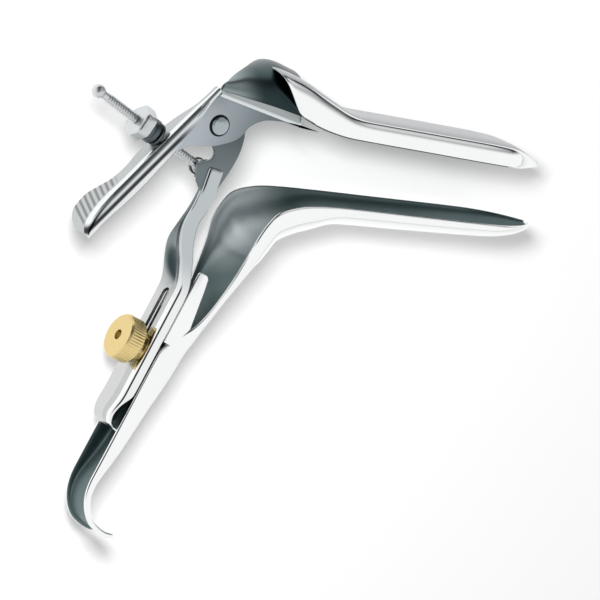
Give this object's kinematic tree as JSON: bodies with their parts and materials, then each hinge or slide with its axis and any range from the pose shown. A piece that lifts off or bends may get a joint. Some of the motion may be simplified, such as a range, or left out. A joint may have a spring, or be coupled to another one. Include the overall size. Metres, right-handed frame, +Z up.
{
  "type": "bivalve speculum",
  "caption": "Two-bladed surgical speculum of polished steel, open on one side, with a sliding frame, thumb lever, adjusting screw and knurled clamp knob.",
  "frame": {"origin": "bottom centre of the whole instrument as it lies on its open side", "axes": "+X forward along the blades, +Y from the lower blade to the upper blade, +Z up, towards the side with pivot and thumb lever"},
  "size_m": [0.2074, 0.1841, 0.0416],
  "materials": {
    "blade_steel": "mirror-polished stainless steel sheet",
    "yoke_steel": "polished stainless steel",
    "frame_steel": "polished stainless steel",
    "rivet_steel": "turned stainless steel",
    "screw_steel": "turned and threaded stainless steel",
    "nut_steel": "bright satin plated",
    "knob_brass": "gold-coloured plating, knurled rim"
  },
  "bodies": {
    "handle": {"lower_blade": "blade_steel", "clamp_stud": "screw_steel", "stud_spacer": "rivet_steel", "clamp_collar": "knob_brass"},
    "yoke": {"frame": "frame_steel", "pivot_plate": "frame_steel", "pivot_rivet": "rivet_steel", "pivot_washer": "rivet_steel", "rod_clevis": "rivet_steel", "rod_pin": "rivet_steel"},
    "lever": {"upper_blade": "blade_steel", "upper_yoke": "yoke_steel"},
    "screw": {"adjusting_rod": "screw_steel", "rod_end_stop": "screw_steel"},
    "thrust_washer": {"nut_washer": "nut_steel"},
    "nut": {"adjusting_nut": "nut_steel"},
    "knob": {"clamp_knob": "knob_brass"}
  },
  "joints": [
    {"name": "frame_slide", "type": "slide", "parent": "handle", "child": "yoke", "axis": [0.5299, 0.848, 0], "range_m": [-0.0185, 0.0045]},
    {"name": "blade_tilt", "type": "hinge", "parent": "yoke", "child": "lever", "pos_m": [-0.04606, 0.07046, 0.0395], "axis": [0, 0, 1], "range_deg": [0, 25]},
    {"name": "rod_tilt", "type": "hinge", "parent": "yoke", "child": "screw", "pos_m": [-0.05126, 0.05316, 0.0338], "axis": [0, 0, 1], "range_deg": [-0.5, 20.12]},
    {"name": "nut_travel", "type": "slide", "parent": "screw", "child": "thrust_washer", "axis": [-0.776, 0.6307, 0], "range_m": [-0.00794, 0.0003]},
    {"name": "nut_spin", "type": "hinge", "parent": "thrust_washer", "child": "nut", "pos_m": [-0.05126, 0.05316, 0.0338], "axis": [-0.776, 0.6307, 0], "continuous": true},
    {"name": "knob_spin", "type": "hinge", "parent": "handle", "child": "knob", "pos_m": [-0.06731, -0.02099, 0.0202], "axis": [-0.848, 0.5299, 0], "continuous": true}
  ],
  "couplings": [
    {"joint": "rod_tilt", "follows": "blade_tilt", "ratio": 0.785},
    {"joint": "nut_travel", "follows": "blade_tilt", "m_per_rad": -0.01751}
  ]
}
